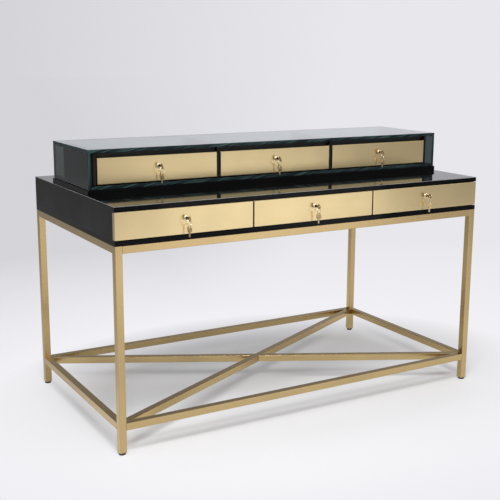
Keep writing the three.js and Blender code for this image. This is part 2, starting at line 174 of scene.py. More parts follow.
class TableSizes(bpy.types.PropertyGroup):
    """Fine sizes of the pieces that are drawn here."""

    board_ease: length("Board edge", "Radius of the eased upper edges of the lacquered boards", 0.0012)
    sheet_fold: length("Sheet fold", "Outer radius of the folds of the brass fronts", 0.0018)
    sheet: length("Sheet", "Thickness of the brass sheet of the fronts", 0.0015)
    glass_arris: length("Glass arris", "Width of the ground edges of the glass panes", 0.0011)
    glass_joint: length("Glass joint", "Half of the glue joint between two panes", 0.0002)
    collar_round: length("Collar edge", "Radius of the rounded edge of a lock's collar", 0.0016)
    plug_radius: length("Plug", "Radius of a lock's turning plug", 0.0045)
    plug_proud: length("Plug face", "How far the plug stands out of the collar", 0.0006)
    plug_gap: length("Plug gap", "Gap between the plug and the lock's bore", 0.0003)
    rib_gap: length("Rib gap", "Gap round the keeper rib under the top", 0.0003)
    cam_width: length("Cam width", "Width of the cam behind the drawer's front", 0.012)
    cam_thickness: length("Cam thickness", "Thickness of the cam", 0.003)
    key_plate: length("Key plate", "Thickness of a key", 0.0024)
    key_neck: length("Key neck", "Width of the neck between plug and bow", 0.007)
    key_hole: length("Key hole", "Radius of the hole in an inserted key's bow", 0.0026)
    key_edge: length("Key edge", "Radius of the worn edges of a key", 0.0005)
    ring_radius: length("Ring", "Radius of the split ring at the middle of its wire", 0.0115)
    ring_wire: length("Ring wire", "Radius of the split ring's wire", 0.0006)
    ring_pitch: length("Ring pitch", "Distance between the two turns of the split ring", 0.00125)
    ring_turn: turning("Ring turn", "Turn of the split rings about Z", math.radians(28.0))
    spare_bow: length("Spare bow", "Half of the width of a spare key's bow", 0.0105)
    spare_tall: length("Spare height", "Half of the height of a spare key's bow", 0.0120)
    spare_hole: length("Spare hole", "Radius of the hole in a spare key's bow", 0.0022)
    spare_rim: length("Spare rim", "Metal left above the hole in a spare key's bow", 0.0026)
    spare_hang: length("Spare hang", "How far a spare key's tip hangs below the lock", 0.060)
    spare_turn: turning("Spare turn", "Turn of the spare keys about Z", math.radians(26.0))
    blade_width: length("Blade width", "Width of a key's blade", 0.0058)
    blade_plate: length("Blade plate", "Thickness of a key's blade", 0.002)
    blade_cut: length("Blade cut", "Depth of the cuts along a key's blade", 0.0017)


class TableFinishes(bpy.types.PropertyGroup):
    """Colours and gloss of the finishes."""

    tube_brass: colour("Tube brass", "Satin brass of the frame", (0.56, 0.415, 0.20))
    sheet_brass: colour("Sheet brass", "Brushed brass of the fronts", (0.66, 0.525, 0.283))
    lock_brass: colour("Lock brass", "Polished pale brass of the collars", (0.92, 0.82, 0.62))
    # Painted shade: the plug's face is near black to stand in for the shaded keyhole
    plug_bronze: colour("Plug bronze", "Dark face of the plug in a collar", (0.030, 0.024, 0.018))
    key_brass: colour("Key brass", "Worn brass of the keys", (0.46, 0.34, 0.18))
    spare_brass: colour("Spare brass", "Pale brass of the spare keys' bows", (0.78, 0.60, 0.33))
    key_nickel: colour("Key nickel", "Plated rings and blades of the spare keys", (0.74, 0.66, 0.50))
    gloss_black: colour("Gloss black", "Lacquer of the top and the edges", (0.0016, 0.0016, 0.0019))
    satin_black: colour("Satin black", "Satin lacquer of the other boards", (0.006, 0.006, 0.006))
    # Painted highlight: a pale grey lacquer on the top's eased edge that stands in for the light caught
    # there
    worn_black: colour("Worn black", "Lacquer worn pale along the top's edge", (0.20, 0.20, 0.205))
    drawer_stain: colour("Drawer stain", "Dark stain of the drawer boxes", (0.045, 0.034, 0.026))
    drawer_felt: colour("Drawer felt", "Felt on the floors of the drawers", (0.40, 0.375, 0.33))
    glass_tone: colour("Glass tone", "What the clear panes let through", (0.10, 0.50, 0.52))
    smoke_tone: colour("Smoke tone", "What the grey side panes let through", (0.12, 0.20, 0.20))
    edge_dark: colour("Edge green", "Deep green of the panes' edges", (0.004, 0.010, 0.012))
    # Painted reflection: pale streaks of light drawn along the panes' edges
    edge_glint: colour("Edge streaks", "Pale streaks in the panes' edges", (0.065, 0.115, 0.115))
    rubber_black: colour("Rubber black", "Glides under the legs", (0.018, 0.018, 0.019))
    tube_gloss: share("Tube roughness", "Roughness of the frame's brass", 0.25)
    sheet_gloss: share("Sheet roughness", "Roughness of the brass fronts", 0.23)
    lacquer_shine: share("Lacquer shine", "Strength of the lacquer's reflection", 0.2)
    edge_shine: share("Edge shine", "Strength of the reflection in the black edges", 0.08)
    pane_shine: share("Pane shine", "Strength of the reflection in the panes' edges", 0.15)
    level_slant: turning("Level slant", "Slant of the level panes' streaks", math.radians(76.0))
    upright_slant: turning("Upright slant", "Slant of the upright panes' streaks", math.radians(2.0))
    glass_depth: number("Glass density", "Strength of the clear panes' green, per metre", 16.0)
    smoke_depth: number("Smoke density", "Strength of the grey of the left and back panes", 110.0)
    # Painted shade: the right pane's extra density darkens that end of the case
    right_pane_shade: number("Dark density", "Strength of the grey of the right pane", 220.0)


class TableStudio(bpy.types.PropertyGroup):
    """Camera, lamps and floor."""

    camera_place: spot("Camera place", "Where the camera stands", (-1.802, -3.0615, 1.307))
    camera_heading: turning("Camera heading", "Turn to the right of +Y", math.radians(30.63))
    camera_fall: turning("Camera fall", "Tilt below the horizon", math.radians(11.87))
    camera_roll: turning("Camera roll", "Turn about the line of sight", math.radians(0.43))
    camera_lens: lens("Lens", "Focal length in millimetres", 67.08)
    camera_shift: shift("Lens shift", "Shift of the picture, in picture widths", (-0.024, -0.010))
    floor_near: colour("Floor", "Pale floor round the table", (0.86, 0.865, 0.885))
    floor_glow: colour("Floor glow", "Floor just beyond the table's shadow", (0.885, 0.880, 0.915))
    far_left: colour("Far left", "Backdrop towards the left", (0.665, 0.658, 0.692))
    far_right: colour("Far right", "Backdrop towards the right", (0.805, 0.797, 0.838))
    room_front: colour("Dark room", "What is mirrored from the front", (0.54, 0.54, 0.55))
    room_high: colour("Front softbox", "Mirrored from higher up in front", (0.95, 0.95, 0.96))
    room_above: colour("Dark ceiling", "Mirrored from high up behind the table", (0.20, 0.20, 0.21))
    room_left: colour("Dim room", "Mirrored from the left behind the table", (0.22, 0.22, 0.225))
    room_right: colour("Dim corner", "Mirrored from the right in front", (0.22, 0.22, 0.23))
    floor_radius: length("Floor radius", "Radius of the floor", 40.0)
    shadow_middle: spot("Shadow middle", "Middle of the table's shadow", (0.06, -0.06, 0.0))
    near_radius: length("Near floor", "Where the table's shadow starts to fade out", 0.72)
    glow_radius: length("Glow floor", "Where the table's shadow has faded out", 1.25)
    far_radius: length("Far floor", "Where the floor has faded into the backdrop", 3.6)
    shadow_lift: share("Shadow lift", "Share of the floor's glow inside the table's shadow", 0.17)
    pool_middle: spot("Pool middle", "Middle of the light that the front rail mirrors", (0.5, -2.8, 0.0))
    pool_radius: length("Pool radius", "Radius of that pool of light on the floor", 1.35)
    pool_light: number("Pool light", "Extra light in the middle of that pool", 1.45)
    room_light: share("Room light", "Level of the light that comes from all round", 0.52)
    key_power: power("Key lamps", "Power of each of the two key lamps", 55.0)
    fill_power: power("Fill lamp", "Power of the fill lamp", 2.2)


# Shader nodes


def fill(tree, node, sockets):
    """Links or sets the sockets of a node that are named."""
    for key, value in sockets.items():
        if isinstance(value, bpy.types.NodeSocket):
            tree.links.new(value, node.inputs[key])
        else:
            node.inputs[key].default_value = value
    return node


def add(tree, kind, sockets=None, **settings):
    """Adds a shader node, sets its settings and fills its sockets."""
    node = tree.nodes.new(f"ShaderNode{kind}")
    for key, value in settings.items():
        setattr(node, key, value)
    return fill(tree, node, sockets or {})


def worked(tree, operation, *values):
    """A sum on numbers."""
    sockets = dict(enumerate(values))
    return add(tree, "Math", sockets, operation=operation).outputs["Value"]


def shifted(tree, operation, *vectors, result="Vector"):
    """A sum on vectors, which gives a vector."""
    sockets = dict(enumerate(vectors))
    return add(tree, "VectorMath", sockets, operation=operation).outputs[result]


def measured(tree, operation, *vectors):
    """A sum on vectors, which gives a number."""
    return shifted(tree, operation, *vectors, result="Value")


def split(tree, vector):
    """The three parts of a vector."""
    return add(tree, "SeparateXYZ", {"Vector": vector}).outputs


def object_place(tree):
    """The place on the piece, which is the same at every pose."""
    return add(tree, "TexCoord").outputs["Object"]


def glossy_ray(tree):
    """1 where a surface is seen as a reflection, else 0."""
    return add(tree, "LightPath").outputs["Is Glossy Ray"]


def start_material(name):
    """An empty material with a Principled shader on its output."""
    material = bpy.data.materials.new(name)
    material.use_nodes = True
    tree = material.node_tree
    tree.nodes.clear()
    shader = add(tree, "BsdfPrincipled")
    add(tree, "OutputMaterial", {"Surface": shader.outputs["BSDF"]})
    return material, tree, shader


def output_of(tree):
    """The output node of a material."""
    return next(node for node in tree.nodes if node.type == "OUTPUT_MATERIAL")


def grain(tree, lengths, turn=0.0, detail=2.0, slant=0.0):
    """Noise whose marks have the given lengths along X, Y and Z, slanted about Y and turned about Z."""
    sockets = {"Vector": object_place(tree), "Rotation": (0.0, slant, turn), "Scale": lengths}
    mapping = add(tree, "Mapping", sockets, vector_type="TEXTURE")
    sockets = {"Vector": mapping.outputs["Vector"], "Scale": 1.0, "Detail": detail}
    return add(tree, "TexNoise", sockets).outputs[0]


def ranged(tree, value, low, high, start=NOISE_LOW, end=NOISE_HIGH):
    """Runs evenly from low, where a value is at its start, to high at its end, and no further."""
    sockets = {"Value": value, "From Min": start, "From Max": end, "To Min": low, "To Max": high}
    return add(tree, "MapRange", sockets).outputs["Result"]


def ramp(tree, value, start=NOISE_LOW, end=NOISE_HIGH):
    """Runs evenly from 0 to 1 between two values."""
    return ranged(tree, value, 0.0, 1.0, start, end)


def painted(tone):
    """A colour with its fourth channel, or a socket as it is."""
    return tone if isinstance(tone, bpy.types.NodeSocket) else (*tone, 1.0)


def mixed(tree, factor, first, second):
    """Two colours mixed by a factor."""
    sockets = {MIX_FACTOR: factor, MIX_FIRST: painted(first), MIX_SECOND: painted(second)}
    return add(tree, "Mix", sockets, data_type="RGBA").outputs[MIX_RESULT]


def toned(tone, amount):
    """A colour made lighter or darker by an amount."""
    return tuple(min(1.0, channel * amount) for channel in tone)


def varied(tree, noise, tone, darkest, lightest):
    """A colour that grows from its darkest to its lightest tone with a noise."""
    return mixed(tree, ramp(tree, noise), toned(tone, darkest), toned(tone, lightest))


def eased_normal(tree, radius):
    """The surface's normal with its sharp edges rounded to a small radius."""
    return add(tree, "Bevel", {"Radius": radius}, samples=4).outputs["Normal"]


def edge_share(tree, eased):
    """1 along sharp edges and 0 on flat faces, from how far the eased normal leans off the true one."""
    true = add(tree, "NewGeometry").outputs["True Normal"]
    return ramp(tree, measured(tree, "DOT_PRODUCT", eased, true), start=0.99, end=0.75)


def raised(tree, height, strength, distance, over=None):
    """A bump from a height, over another normal where one is given."""
    sockets = {"Height": height, "Strength": strength, "Distance": distance}
    if over is not None:
        sockets["Normal"] = over
    return add(tree, "Bump", sockets).outputs["Normal"]


# Finishes


def brushed_brass(name, tone, roughness, lines, turn=0.0, painted_edge_shade=0.62):
    """Brass with fine lines of brushing, faint clouds of patina, and eased edges darkened by painted shade.
    """
    material, tree, shader = start_material(name)
    lines = grain(tree, lines, turn)
    clouds = grain(tree, PATINA_CLOUDS, detail=1.0)
    brushed = varied(tree, lines, tone, darkest=0.97, lightest=1.03)
    aged = varied(tree, clouds, tone, darkest=0.93, lightest=1.05)
    base = mixed(tree, 0.5, brushed, aged)
    eased = eased_normal(tree, radius=0.0015)
    # Painted shade: the base colour is darkened along the eased edges
    painted_edge = mixed(tree, edge_share(tree, eased), base, toned(tone, painted_edge_shade))
    normal = raised(tree, lines, strength=0.015, distance=0.00002, over=eased)
    gloss = ranged(tree, lines, low=roughness - 0.025, high=roughness + 0.03)
    fill(tree, shader, {"Base Color": painted_edge, "Metallic": 1.0, "Roughness": gloss, "Normal": normal})
    return material


def polished_metal(name, tone, roughness):
    """Polished metal with small scratches and handled, duller patches."""
    material, tree, shader = start_material(name)
    scratches = grain(tree, METAL_SCRATCHES, detail=3.0)
    patches = grain(tree, METAL_PATCHES)
    base = varied(tree, patches, tone, darkest=0.82, lightest=1.08)
    normal = raised(tree, scratches, strength=0.12, distance=0.00003)
    gloss = ranged(tree, patches, low=roughness - 0.06, high=roughness + 0.10)
    fill(tree, shader, {"Base Color": base, "Metallic": 1.0, "Roughness": gloss, "Normal": normal})
    return material


def gloss_lacquer(name, tone, shine):
    """Deep black lacquer, polished, with a faint ripple and a few wiped smears."""
    material, tree, shader = start_material(name)
    ripple = grain(tree, LACQUER_RIPPLE, detail=1.0)
    smears = grain(tree, LACQUER_SMEARS, turn=0.5, detail=4.0)
    base = varied(tree, smears, tone, darkest=0.8, lightest=1.5)
    normal = raised(tree, ripple, strength=0.03, distance=0.00008)
    gloss = ranged(tree, smears, low=0.045, high=0.085)
    sockets = {"Base Color": base, "Roughness": gloss, "Normal": normal}
    fill(tree, shader, {**sockets, "IOR": LACQUER_IOR, "Specular IOR Level": shine})
    return material


def satin_lacquer(name, tone, shine):
    """Satin black lacquer over fine grain, with soft marks of handling and eased edges."""
    material, tree, shader = start_material(name)
    pores = grain(tree, LACQUER_PORES, detail=3.0)
    marks = grain(tree, HANDLING_MARKS, detail=4.0)
    base = varied(tree, marks, tone, darkest=0.75, lightest=1.35)
    eased = eased_normal(tree, radius=0.0012)
    normal = raised(tree, pores, strength=0.10, distance=0.00010, over=eased)
    gloss = ranged(tree, marks, low=0.36, high=0.48)
    sockets = {"Base Color": base, "Roughness": gloss, "Normal": normal}
    fill(tree, shader, {**sockets, "IOR": LACQUER_IOR, "Specular IOR Level": shine})
    return material


def stained_wood(name, stain, felt, felt_level):
    """Dark stained boards with grain along the drawer, and felt on the floor inside."""
    material, tree, shader = start_material(name)
    figure = grain(tree, WOOD_FIGURE, detail=5.0)
    nap = grain(tree, FELT_NAP, detail=3.0)
    wood = varied(tree, figure, stain, darkest=0.55, lightest=1.5)
    cloth = varied(tree, nap, felt, darkest=0.8, lightest=1.12)
    height = split(tree, object_place(tree))["Z"]
    facing = split(tree, add(tree, "NewGeometry").outputs["Normal"])["Z"]
    below = worked(tree, "LESS_THAN", height, felt_level)
    upward = worked(tree, "GREATER_THAN", facing, UPWARD)
    on_floor = worked(tree, "MULTIPLY", below, upward)
    base = mixed(tree, on_floor, wood, cloth)
    gloss = ranged(tree, on_floor, low=0.48, high=0.95, start=0.0, end=1.0)
    eased = eased_normal(tree, radius=0.0008)
    normal = raised(tree, nap, strength=0.25, distance=0.00015, over=eased)
    fill(tree, shader, {"Base Color": base, "Roughness": gloss, "Normal": normal})
    return material


def tinted_glass(name, tone, density):
    """Float glass whose depth gives it a tone, with faint marks on its surface."""
    material, tree, shader = start_material(name)
    marks = grain(tree, GLASS_MARKS, turn=0.6, detail=3.0)
    gloss = ranged(tree, marks, low=0.0, high=0.02)
    sockets = {"Base Color": (0.985, 0.995, 0.99, 1.0), "Roughness": gloss}
    fill(tree, shader, {**sockets, "IOR": GLASS_IOR, "Transmission Weight": 1.0})
    sockets = {"Color": painted(tone), "Density": density}
    depth = add(tree, "VolumeAbsorption", sockets).outputs["Volume"]
    fill(tree, output_of(tree), {"Volume": depth})
    return material


def ground_edge(name, finish, slant):
    """Edge of a pane: deep green, with pale streaks painted along it for the light that is caught in the
    glass.
    """
    material, tree, shader = start_material(name)
    streaks = grain(tree, EDGE_STREAKS, detail=1.0, slant=slant)
    haze = grain(tree, EDGE_HAZE)
    # Pale painted streaks of reflected light over the edge's deep green
    bands = mixed(tree, ramp(tree, streaks, start=0.50, end=0.70), finish.edge_dark, finish.edge_glint)
    base = mixed(tree, ranged(tree, haze, low=0.0, high=0.5), bands, finish.edge_dark)
    gloss = ranged(tree, streaks, low=0.10, high=0.22)
    sockets = {"Base Color": base, "Roughness": gloss}
    fill(tree, shader, {**sockets, "IOR": LACQUER_IOR, "Specular IOR Level": finish.pane_shine})
    return material


def moulded_rubber(name, tone):
    """Matt black rubber with a fine moulded texture."""
    material, tree, shader = start_material(name)
    texture = grain(tree, RUBBER_TEXTURE, detail=3.0)
    base = varied(tree, texture, tone, darkest=0.7, lightest=1.5)
    eased = eased_normal(tree, radius=0.0008)
    normal = raised(tree, texture, strength=0.3, distance=0.0002, over=eased)
    gloss = ranged(tree, texture, low=0.55, high=0.75)
    fill(tree, shader, {"Base Color": base, "Roughness": gloss, "Normal": normal})
    return material


# Surfaces


def grid_faces(rows, columns, close_rows=False):
    """Quads between neighbouring points of a grid that closes round its columns."""
    row = np.arange(rows if close_rows else rows - 1)[:, None]
    column = np.arange(columns)[None, :]
    up = (row + 1) % rows
    right = (column + 1) % columns
    near, far = row * columns, up * columns
    corner = (near + column, near + right, far + right, far + column)
    return np.stack(np.broadcast_arrays(*corner), axis=-1).reshape(-1, 4)


def tube_shell(rings, capped=True, close_rows=False):
    """Rings of points joined into a skin of quads. Capped ends are fans of triangles round the mean of the
    end ring. Returns the points, the quads and the fans."""
    rows, columns, _ = rings.shape
    points = rings.reshape(-1, 3)
    quads = grid_faces(rows, columns, close_rows)
    fans = np.zeros((0, 3), int)
    if capped:
        ends = np.stack((rings[0].mean(axis=0), rings[-1].mean(axis=0)))
        around = np.arange(columns)
        onward = (around + 1) % columns
        last = (rows - 1) * columns
        first_fan = np.stack((onward, around, np.full(columns, len(points))), axis=1)
        last_fan = np.stack((last + around, last + onward, np.full(columns, len(points) + 1)), axis=1)
        points = np.concatenate((points, ends))
        fans = np.concatenate((first_fan, last_fan))
    return points, quads, fans


def rounded_outline(half_u, half_v, radius, steps=4):
    """A rectangle with round corners: each corner is a quarter circle about its own centre."""
    angle = np.linspace(0.0, np.pi / 2, steps + 1)
    quarters = np.arange(4)[:, None] * (np.pi / 2) + angle[None, :]
    sign_u = np.array([1, -1, -1, 1])[:, None]
    sign_v = np.array([1, 1, -1, -1])[:, None]
    u = sign_u * (half_u - radius) + radius * np.cos(quarters)
    v = sign_v * (half_v - radius) + radius * np.sin(quarters)
    return np.stack((u, v), axis=-1).reshape(-1, 2)


def stacked_outlines(low, high, axis, insets, levels, corner):
    """Rectangles between two corners, drawn in by insets and stacked at levels along an axis."""
    low, high = np.array(low), np.array(high)
    u_axis, v_axis = (axis + 1) % 3, (axis + 2) % 3
    half_u, half_v = (high - low)[[u_axis, v_axis]] / 2
    rings = []
    for inset, level in zip(insets, levels):
        outline = rounded_outline(half_u - inset, half_v - inset, max(corner - inset, 0.0))
        ring = np.zeros((len(outline), 3))
        ring[:, u_axis] = outline[:, 0] + (low + high)[u_axis] / 2
        ring[:, v_axis] = outline[:, 1] + (low + high)[v_axis] / 2
        ring[:, axis] = level
        rings.append(ring)
    return np.stack(rings)


def quarter(radius, steps=4):
    """A quarter round as insets and rises: the inset falls to 0 as the rise reaches the radius."""
    angle = np.linspace(0.0, np.pi / 2, steps + 1)
    return radius * (1 - np.sin(angle)), radius * (1 - np.cos(angle))


def eased_board(low, high, axis, ease_low, ease_high):
    """A board whose edges are quarter rounds at the low and the high end of an axis."""
    inset_low, rise_low = quarter(ease_low)
    inset_high, rise_high = quarter(ease_high)
    insets = np.concatenate((inset_low, inset_high[::-1]))
    levels = np.concatenate((low[axis] + rise_low, high[axis] - rise_high[::-1]))
    corner = max(ease_low, ease_high)
    return tube_shell(stacked_outlines(low, high, axis, insets, levels, corner))


def folded_pan(low, high, fold, sheet):
    """A sheet folded back round its four edges: face, quarter-round fold, side, rim, inner side and
    inner face."""
    inset, rise = quarter(fold, steps=5)
    insets = np.concatenate((inset, (0.0, sheet, sheet)))
    levels = np.concatenate((low[1] + rise, (high[1], high[1], low[1] + sheet)))
    return tube_shell(stacked_outlines(low, high, Y, insets, levels, fold))


def turned(profile, centre, axis, around=48, close_profile=False):
    """A profile of radius and height turned about an axis through a centre."""
    profile = np.array(profile)
    angle = np.linspace(0.0, 2 * np.pi, around, endpoint=False)
    rings = np.zeros((len(profile), around, 3))
    rings[:, :, (axis + 1) % 3] = profile[:, :1] * np.cos(angle)
    rings[:, :, (axis + 2) % 3] = profile[:, :1] * np.sin(angle)
    rings[:, :, axis] = profile[:, 1:]
    return tube_shell(rings + np.array(centre), capped=False, close_rows=close_profile)


def holed_disc(bow, half_width, half_height, hole, hole_radius, plate, edge, around=48):
    """An oval plate across X with a round hole: a closed profile runs from the hole's circle out to the
    rim's oval and back, and each point of it lies that share of the way between the two."""
    half = plate / 2
    step = edge / half_width
    out = np.array([0.0, step, 1 - step, 1.0, 1.0, 1 - step, step, 0.0])
    across = np.array([edge - half, -half, -half, edge - half, half - edge, half, half, half - edge])
    angle = np.linspace(0.0, 2 * np.pi, around, endpoint=False)
    spoke = np.stack((np.zeros(around), np.cos(angle), np.sin(angle)), axis=-1)
    inner = np.array(hole) + hole_radius * spoke
    outer = np.array(bow) + spoke * np.array((1.0, half_width, half_height))
    rings = inner[None] + out[:, None, None] * (outer - inner)[None]
    rings[:, :, 0] += across[:, None]
    return tube_shell(rings, capped=False, close_rows=True)


def turned_about(shell, middle, angle):
    """A shell turned by an angle about the upright line through a point."""
    points, quads, fans = shell
    cosine, sine = math.cos(angle), math.sin(angle)
    turn = np.array(((cosine, -sine, 0.0), (sine, cosine, 0.0), (0.0, 0.0, 1.0)))
    return (points - np.array(middle)) @ turn.T + np.array(middle), quads, fans


def split_ring(centre, radius, wire, pitch, turns=2, steps=48, around=10):
    """Round wire along a flat helix about Y: the wire's circle lies in the plane of the radius and Y."""
    angle = np.linspace(np.pi / 2, np.pi / 2 + 2 * np.pi * turns, steps * turns)
    outward = np.stack((np.cos(angle), np.zeros_like(angle), np.sin(angle)), axis=-1)
    line = np.array(centre) + radius * outward
    line[:, 1] += pitch * (np.linspace(0.0, turns, len(angle)) - turns / 2)
    about = np.linspace(0.0, 2 * np.pi, around, endpoint=False)
    section = np.cos(about)[None, :, None] * outward[:, None, :]
    section = section + np.sin(about)[None, :, None] * np.array((0.0, 1.0, 0.0))
    return tube_shell(line[:, None, :] + wire * section)


def key_blade(top, tip, width, plate, cut, cuts=5, steps=60, shoulder=0.15, point=0.25, deepest=0.6):
    """A flat blade down from a point: past its shoulder the front edge falls back by the cut times the size
    of a sine wave, and both edges draw in to the point's share of the width over the last sixth."""
    along = np.linspace(0.0, 1.0, steps)
    taper = np.clip((1.0 - along) * 6, point, 1.0)
    bite = cut * np.abs(np.sin(along * np.pi * cuts)) * (along > shoulder)
    back = width / 2 * taper
    front = -width / 2 * taper + np.minimum(bite, width * taper * deepest)
    half = plate / 2
    x = np.array([-half, half, half, -half])
    y = np.stack((front, front, back, back), axis=1)
    rings = np.zeros((steps, 4, 3))
    rings[:, :, 0] = top[0] + x[None, :]
    rings[:, :, 1] = top[1] + y
    rings[:, :, 2] = (top[2] + along * (tip - top[2]))[:, None]
    return tube_shell(rings)


# Pieces


def make_piece(name, shells, materials, body, smooth=None, choose=None):
    """Joins shells into one mesh at the origin, closes its seams, turns its faces outwards, and rides it on
    a body. Each shell has the material of its place in the list, or the last one, unless choose gives each
    face an index from its normal. Edges that turn by less than smooth, in degrees, are shaded round."""
    points = np.concatenate([shell[0] for shell in shells])
    starts = np.cumsum([0] + [len(shell[0]) for shell in shells[:-1]])
    quads = np.concatenate([shell[1] + start for shell, start in zip(shells, starts)])
    fans = np.concatenate([shell[2] + start for shell, start in zip(shells, starts)])
    mesh = bpy.data.meshes.new(name)
    mesh.from_pydata(points.tolist(), [], quads.tolist() + fans.tolist())
    for material in materials:
        mesh.materials.append(material)
    places = np.minimum(np.arange(len(shells)), len(materials) - 1)
    quad_owner = np.repeat(places, [len(shell[1]) for shell in shells])
    fan_owner = np.repeat(places, [len(shell[2]) for shell in shells])
    owner = np.concatenate((quad_owner, fan_owner))
    mesh.polygons.foreach_set("material_index", owner.astype(np.int32))
    build = bmesh.new()
    build.from_mesh(mesh)
    bmesh.ops.remove_doubles(build, verts=build.verts, dist=SAME_POINT)
    bmesh.ops.dissolve_degenerate(build, edges=build.edges, dist=SLIVER)
    bmesh.ops.recalc_face_normals(build, faces=build.faces)
    build.to_mesh(mesh)
    build.free()
    if choose is not None:
        normals = np.zeros(len(mesh.polygons) * 3, np.float32)
        mesh.polygons.foreach_get("normal", normals)
        mesh.polygons.foreach_set("material_index", choose(normals.reshape(-1, 3)).astype(np.int32))
    if smooth is not None:
        mesh.polygons.foreach_set("use_smooth", np.ones(len(mesh.polygons), bool))
        mesh.set_sharp_from_angle(angle=math.radians(smooth))
    mesh.update()
    piece = bpy.data.objects.new(name, mesh)
    bpy.context.scene.collection.objects.link(piece)
    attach(piece, body)
    return piece


def dress(names, material):
    """Gives a material to solids that keep their own shape."""
    for name in names:
        frame["nodes"][name].material_slots[0].material = material


def corners(name):
    """Lowest and highest corner of a solid, as arrays."""
    low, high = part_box(name)
    return np.array(low), np.array(high)


class TABLE_OT_frame(bpy.types.Operator):
    """Finish the brass tubes of the frame and the glides under its legs"""

    bl_idname = "display_table.frame"
    bl_label = "Brass frame"

    def execute(self, context):
        finish = context.scene.table_finishes
        brass = (finish.tube_brass, finish.tube_gloss)
        for axis, (letter, names) in enumerate(TUBES_ALONG.items()):
            lines = [TUBE_FINE, TUBE_FINE, TUBE_FINE]
            lines[axis] = TUBE_LONG
            dress(names, brushed_brass(f"tube_brass_{letter}", *brass, lines))
        for name, side in BRACES.items():
            low, high = corners(name)
            turn = side * math.atan2(high[Y] - low[Y], high[X] - low[X])
            lines = (TUBE_LONG, TUBE_FINE, TUBE_FINE)
            dress([name], brushed_brass(f"tube_brass_{name}", *brass, lines, turn))
        dress(GLIDES, moulded_rubber("glide_rubber", finish.rubber_black))
        return {"FINISHED"}


class TABLE_OT_cabinet(bpy.types.Operator):
    """Lacquer the cabinet and ease the edges of its top"""

    bl_idname = "display_table.cabinet"
    bl_label = "Black cabinet"

    def execute(self, context):
        finish, sizes = context.scene.table_finishes, context.scene.table_sizes
        gloss = gloss_lacquer("gloss_black", finish.gloss_black, finish.lacquer_shine)
        satin = satin_lacquer("satin_black", finish.satin_black, finish.lacquer_shine)
        edge = gloss_lacquer("edge_black", finish.gloss_black, finish.edge_shine)
        # A pale copy of the satin lacquer, painted as a highlight along the top's eased edge
        painted_edge = satin_lacquer("worn_black", finish.worn_black, finish.lacquer_shine)
        dress(SATIN_BOARDS, satin)
        dress(["cabinet_base"], edge)
        low, high = corners("cabinet_top")
        underside = corners("cabinet_side_left")[1][Z]
        board = eased_board((low[X], low[Y], underside), high, Z, 0.0, sizes.board_ease)
        rib_front = corners("cabinet_side_left")[0][Y]
        rib_back = corners("cabinet_partition_left")[0][Y]
        inner = corners("cabinet_back")[1][X]
        fit = sizes.rib_gap
        rib_low = (-inner + fit, rib_front, low[Z])
        rib_high = (inner - fit, rib_back - fit, underside + sizes.board_ease)
        rib = eased_board(rib_low, rib_high, Z, 0.0, 0.0)
        coats = [gloss, satin, edge, painted_edge]
        choose = self.coat_of
        top = make_piece("lacquered_top", [board, rib], coats, "root", choose=choose)
        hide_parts("cabinet_top")
        low, high = corners("case_plinth")
        board = eased_board(low, high, Z, 0.0, sizes.board_ease)
        plinth = make_piece("lacquered_plinth", [board], [edge], "root")
        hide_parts("case_plinth")
        return {"FINISHED"}

    def coat_of(self, normal):
        """Places in the list of coats: gloss above, satin on the sides, back and underside, edge lacquer in
            front, and on the eased upper edge a pale coat that is a painted highlight."""
        gloss, satin, edge, painted_edge = range(4)
        coat = np.where(normal[:, Z] > SQUARE, gloss, satin)
        coat[normal[:, Y] < -SQUARE] = edge
        # Faces of the eased upper edge get the painted highlight
        eased = (np.abs(normal).max(axis=1) < SQUARE) & (normal[:, Z] > 1 - SQUARE)
        coat[eased] = painted_edge
        return coat


class TABLE_OT_glass(bpy.types.Operator):
    """Make the panes of the glass case with ground edges"""

    bl_idname = "display_table.glass"
    bl_label = "Glass case"

    def execute(self, context):
        finish, sizes = context.scene.table_finishes, context.scene.table_sizes
        level = ground_edge("glass_edge_level", finish, finish.level_slant)
        upright = ground_edge("glass_edge_upright", finish, finish.upright_slant)
        glasses = {
            "clear": tinted_glass("glass_face", finish.glass_tone, finish.glass_depth),
            "smoked": tinted_glass("glass_smoked", finish.smoke_tone, finish.smoke_depth),
            # The right pane's denser smoke is painted shade
            "dark": tinted_glass("glass_dark", finish.smoke_tone, finish.right_pane_shade),
        }
        for place, (axis, glass) in PANES.items():
            low, high = corners(f"case_glass_{place}")
            low, high = low + sizes.glass_joint, high - sizes.glass_joint
            pane = eased_board(low, high, axis, sizes.glass_arris, sizes.glass_arris)
            materials = [glasses[glass], level if axis == Z else upright]
            choose = functools.partial(self.edge_of, axis)
            piece = make_piece(f"glass_pane_{place}", [pane], materials, "root", choose=choose)
            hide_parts(f"case_glass_{place}")
        return {"FINISHED"}

    def edge_of(self, axis, normal):
        """0 on the two faces across an axis, and 1 on the edges."""
        return np.abs(normal[:, axis]) < SQUARE


class TABLE_OT_drawers(bpy.types.Operator):
    """Fold the brass fronts of the drawers and finish their boxes"""

    bl_idname = "display_table.drawers"
    bl_label = "Drawers"

    def execute(self, context):
        finish, sizes = context.scene.table_finishes, context.scene.table_sizes
        brass = brushed_brass("sheet_brass", finish.sheet_brass, finish.sheet_gloss, SHEET_LINES)
        openings = {box["name"]: box["box_m"] for box in frame["record"]["physics"]["openings"]}
        for drawer in DRAWERS:
            low, high = corners(f"drawer_front_{drawer}")
            pan = folded_pan(low, high, sizes.sheet_fold, sizes.sheet)
            body = f"drawer_{drawer}"
            front = make_piece(f"folded_front_{drawer}", [pan], [brass], body)
            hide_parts(f"drawer_front_{drawer}")
        for row in ("lower", "upper"):
            floor = openings[f"inside_{row}_left"][0][Z]
            wood = stained_wood(f"drawer_wood_{row}", finish.drawer_stain, finish.drawer_felt, floor)
            dress([f"drawer_box_{drawer}" for drawer in DRAWERS if drawer.startswith(row)], wood)
        return {"FINISHED"}


